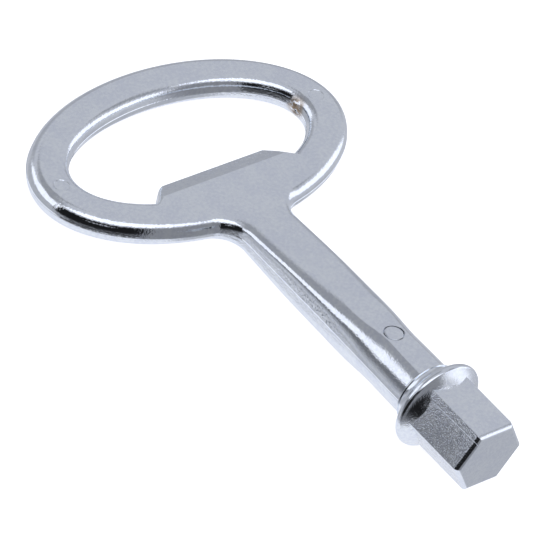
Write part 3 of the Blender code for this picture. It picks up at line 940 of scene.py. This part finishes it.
# Two grey cards stand across the key's left side, the small one beside the drive and the large one in line
# with the bow. Each has its place along Y and its outline, X and Z, in millimetres.
GREY_CARDS = {
    "small_card": (-14, ((-20, -12), (-20, 24), (-75, 24), (-75, -12))),
    "large_card": (14, ((-21, -8), (-21, 6.4), (-30, 7.7), (-39, 9.5), (-46, 11.2), (-54, 16.7), (-65, 22.9),
                        (-76, 26), (-140, 30), (-140, -90))),
}
CARD_TINT = (0.93, 0.96, 1.06, 1.0)
CARD_FAN = (-3.4, 6.2)         # X and Z of the line from which the cards' shading fans out, in millimetres
CARD_PALE_SLOPE = -0.62        # a card is palest below this slope from the line, and darkest above the next
CARD_DARK_SLOPE = -0.06
CARD_PALE_LEVEL = 0.58
CARD_DARK_LEVEL = 0.17


def within(tree, value, low, low_soft, high, high_soft):
    """1 between two soft limits and 0 outside them. Each limit is the middle of its soft stretch."""
    over = graded(tree, value, low - low_soft / 2, low + low_soft / 2)
    above = graded(tree, value, high - high_soft / 2, high + high_soft / 2)
    return calculate(tree, "MULTIPLY", over, calculate(tree, "SUBTRACT", 1.0, above))


def tent_level(tree):
    """Brightness of the light tent in the direction that a ray leaves in."""
    direction = tree.nodes.new("ShaderNodeTexCoord").outputs["Generated"]
    rise = calculate(tree, "ARCSINE", parts_of(tree, direction)["Z"])
    elevation = calculate(tree, "MULTIPLY", rise, math.degrees(1))
    level = TENT_BASE
    for azimuth, half_width, side_soft, lowest, low_soft, highest, high_soft, grey in TENT_PANELS.values():
        turn = tree.nodes.new("ShaderNodeVectorRotate")
        turn.rotation_type = "Z_AXIS"
        turn.inputs["Angle"].default_value = math.radians(-azimuth)
        tree.links.new(direction, turn.inputs["Vector"])
        turned = parts_of(tree, turn.outputs[0])
        around = calculate(tree, "ARCTAN2", turned["Y"], turned["X"])
        away = calculate(tree, "ABSOLUTE", calculate(tree, "MULTIPLY", around, math.degrees(1)))
        side = half_width + side_soft
        outside = graded(tree, away, side - side_soft / 2, side + side_soft / 2)
        share = calculate(tree, "MULTIPLY", calculate(tree, "SUBTRACT", 1.0, outside),
                          within(tree, elevation, lowest, low_soft, highest, high_soft))
        level = mixed(tree, level, grey, share)
    return calculate(tree, "POWER", level, DISPLAY_GAMMA)


def mix_shaders(tree, share, first, second, output):
    """Feed an output with the first shader where the share is 0, and with the second where it is 1."""
    mix = tree.nodes.new("ShaderNodeMixShader")
    tree.links.new(share, mix.inputs[0])
    tree.links.new(first.outputs[0], mix.inputs[1])
    tree.links.new(second.outputs[0], mix.inputs[2])
    tree.links.new(mix.outputs[0], tree.nodes[output].inputs["Surface"])


def build_world():
    """The light tent, for light and reflections, and the plain backdrop that the camera sees."""
    world = bpy.data.worlds.new("light_tent")
    bpy.context.scene.world = world
    world.use_nodes = True
    tree = world.node_tree
    tent = tree.nodes["Background"]
    tent.inputs["Color"].default_value = TENT_TINT
    tree.links.new(tent_level(tree), tent.inputs["Strength"])
    backdrop = tree.nodes.new("ShaderNodeBackground")
    backdrop.inputs["Color"].default_value = BACKDROP_COLOUR
    seen = tree.nodes.new("ShaderNodeLightPath").outputs["Is Camera Ray"]
    mix_shaders(tree, seen, tent, backdrop, "World Output")


def stage_piece(name, points, surface):
    mesh = bpy.data.meshes.new(name)
    mesh.from_pydata(points, [], [range(len(points))])
    mesh.materials.append(surface)
    stage = bpy.data.objects.new(name, mesh)
    bpy.context.scene.collection.objects.link(stage)
    return stage


def build_floor():
    material = bpy.data.materials.new("pale_floor")
    material.use_nodes = True
    surface = material.node_tree.nodes["Principled BSDF"]
    surface.inputs["Base Color"].default_value = FLOOR_COLOUR
    surface.inputs["Roughness"].default_value = FLOOR_ROUGHNESS
    surface.inputs["Emission Color"].default_value = (1.0, 1.0, 1.0, 1.0)
    surface.inputs["Emission Strength"].default_value = FLOOR_GLOW
    corners = [(x * FLOOR_REACH, y * FLOOR_REACH, 0) for x, y in ((-1, -1), (1, -1), (1, 1), (-1, 1))]
    floor = stage_piece("studio_floor", corners, material)
    floor.visible_glossy = False


def card_material():
    """Grey that is paler towards the foot, and clear from behind."""
    material = bpy.data.materials.new("grey_card")
    material.use_nodes = True
    tree = material.node_tree
    surface = tree.nodes["Principled BSDF"]
    surface.inputs["Base Color"].default_value = (0.0, 0.0, 0.0, 1.0)
    surface.inputs["Specular IOR Level"].default_value = 0.0
    surface.inputs["Emission Color"].default_value = CARD_TINT
    place = parts_of(tree, tree.nodes.new("ShaderNodeTexCoord").outputs["Object"])
    rise = calculate(tree, "SUBTRACT", place["Z"], CARD_FAN[1] * MM)
    reach = calculate(tree, "SUBTRACT", CARD_FAN[0] * MM, place["X"])
    level = graded(tree, calculate(tree, "DIVIDE", rise, reach), CARD_PALE_SLOPE, CARD_DARK_SLOPE,
                   CARD_PALE_LEVEL, CARD_DARK_LEVEL, "LINEAR")
    tree.links.new(level, surface.inputs["Emission Strength"])
    clear = tree.nodes.new("ShaderNodeBsdfTransparent")
    behind = tree.nodes.new("ShaderNodeNewGeometry").outputs["Backfacing"]
    mix_shaders(tree, behind, surface, clear, "Material Output")
    return material


def build_cards():
    """The grey cards, which only reflections show."""
    material = card_material()
    for name, (y, outline) in GREY_CARDS.items():
        card = stage_piece(name, [(x * MM, y * MM, z * MM) for x, z in outline], material)
        card.visible_camera = False
        card.visible_diffuse = False
        card.visible_shadow = False


# ---- Camera ------------------------------------------------------------------------------------------

# Where it looks and how far away it stands, in metres, and its angles, in degrees. Azimuth 0 is +X.
CAMERA_AIM = (-0.001001, 0.002132, 0.000607)
CAMERA_DISTANCE = 0.635027
CAMERA_AZIMUTH = -140.7344
CAMERA_ELEVATION = 43.4135
CAMERA_ROLL = 19.4024
SENSOR_WIDTH = 36
FOCAL_LENGTH = 379.2


def build_camera():
    lens = bpy.data.cameras.new("studio_camera")
    lens.sensor_width = SENSOR_WIDTH
    lens.lens = FOCAL_LENGTH
    camera = bpy.data.objects.new("studio_camera", lens)
    bpy.context.scene.collection.objects.link(camera)
    turn = (Matrix.Rotation(math.radians(90 + CAMERA_AZIMUTH), 4, "Z")
            @ Matrix.Rotation(math.radians(90 - CAMERA_ELEVATION), 4, "X")
            @ Matrix.Rotation(math.radians(CAMERA_ROLL), 4, "Z"))
    stand_off = Matrix.Translation((0, 0, CAMERA_DISTANCE))
    camera.matrix_world = Matrix.Translation(CAMERA_AIM) @ turn @ stand_off
    bpy.context.scene.camera = camera


build_handle()
build_bit()
build_pin()
build_floor()
build_cards()
build_world()
build_camera()
bpy.context.scene.view_settings.view_transform = "Standard"
